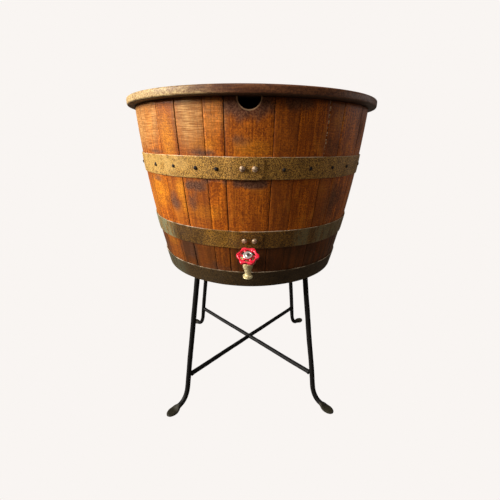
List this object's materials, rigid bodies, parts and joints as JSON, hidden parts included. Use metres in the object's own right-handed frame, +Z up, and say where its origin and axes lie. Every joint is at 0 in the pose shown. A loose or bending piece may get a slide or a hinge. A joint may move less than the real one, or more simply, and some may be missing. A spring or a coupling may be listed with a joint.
{
  "type": "half-barrel drinks tub on stand",
  "caption": "Half oak barrel tub with riveted steel hoops, a lift-off round lid, a bung notch and a brass tap with a red wheel, on a splayed wrought-iron stand.",
  "frame": {"origin": "on the floor, on the tub's vertical axis", "axes": "+Z up; the front, with the bung notch and the tap, faces -Y; +X to the right seen from the front"},
  "size_m": [0.667, 0.6756, 0.8953],
  "materials": {
    "stave_oak": "orange-brown stained and varnished oak, vertical grain, dark water stains beside the hoops",
    "bottom_oak": "plain oak, dull",
    "lid_oak": "brown-olive stained oak, satin varnish, rounded edge",
    "hoop_steel": "aged hoop steel with a mottled golden, olive and brown patina",
    "wrought_iron": "black, slightly hammered, bronze-brown wear on the feet",
    "tap_brass": "pale plain brass",
    "black_rubber": "matt",
    "red_enamel": "bright red enamel on cast metal",
    "disc_aluminium": "plain pressed disc with no lettering",
    "screw_steel": "zinc-plated slotted screw"
  },
  "bodies": {
    "stand": {"stand_ring": "wrought_iron", "front_left_leg": "wrought_iron", "front_right_leg": "wrought_iron", "back_left_leg": "wrought_iron", "back_right_leg": "wrought_iron", "lower_stretcher": "wrought_iron", "upper_stretcher": "wrought_iron"},
    "tub": {"bung_stave": "stave_oak", "stave_02": "stave_oak", "stave_03": "stave_oak", "stave_04": "stave_oak", "stave_05": "stave_oak", "stave_06": "stave_oak", "stave_07": "stave_oak", "stave_08": "stave_oak", "stave_09": "stave_oak", "stave_10": "stave_oak", "stave_11": "stave_oak", "stave_12": "stave_oak", "stave_13": "stave_oak", "stave_14": "stave_oak", "stave_15": "stave_oak", "stave_16": "stave_oak", "stave_17": "stave_oak", "stave_18": "stave_oak", "stave_19": "stave_oak", "stave_20": "stave_oak", "stave_21": "stave_oak", "stave_22": "stave_oak", "stave_23": "stave_oak", "stave_24": "stave_oak", "stave_25": "stave_oak", "stave_26": "stave_oak", "stave_27": "stave_oak", "bottom_board_front": "bottom_oak", "bottom_board_middle": "bottom_oak", "bottom_board_back": "bottom_oak", "upper_hoop": "hoop_steel", "middle_hoop": "hoop_steel", "bottom_hoop": "hoop_steel", "upper_hoop_rivet_left": "hoop_steel", "upper_hoop_rivet_right": "hoop_steel", "middle_hoop_rivet_left": "hoop_steel", "middle_hoop_rivet_right": "hoop_steel", "bottom_hoop_rivet_left": "hoop_steel", "bottom_hoop_rivet_right": "hoop_steel", "tap_body": "tap_brass", "tap_gasket": "black_rubber", "tap_locknut": "tap_brass", "tap_bonnet_nut": "tap_brass"},
    "lid": {"lid_board_front": "lid_oak", "lid_board_middle": "lid_oak", "lid_board_back": "lid_oak", "lid_batten_left": "lid_oak", "lid_batten_right": "lid_oak"},
    "valve_washer": {"tap_seat_washer": "black_rubber"},
    "tap_handle": {"tap_stem": "tap_brass", "tap_handle_wheel": "red_enamel", "tap_handle_disc": "disc_aluminium", "tap_handle_screw": "screw_steel"}
  },
  "joints": [
    {"name": "tub_lift", "type": "slide", "parent": "stand", "child": "tub", "axis": [0, 0, 1], "range_m": [0, 0.3]},
    {"name": "lid_lift", "type": "slide", "parent": "tub", "child": "lid", "axis": [0, 0, 1], "range_m": [0, 0.3]},
    {"name": "valve_rise", "type": "slide", "parent": "tub", "child": "valve_washer", "axis": [0, -0.4498, 0.8931], "range_m": [0, 0.005]},
    {"name": "handle_turn", "type": "hinge", "parent": "valve_washer", "child": "tap_handle", "pos_m": [0, -0.31948, 0.5568], "axis": [0, -0.4498, 0.8931], "range_deg": [0, 720]}
  ],
  "couplings": [
    {"joint": "valve_rise", "follows": "handle_turn", "m_per_rad": 0.000397}
  ]
}
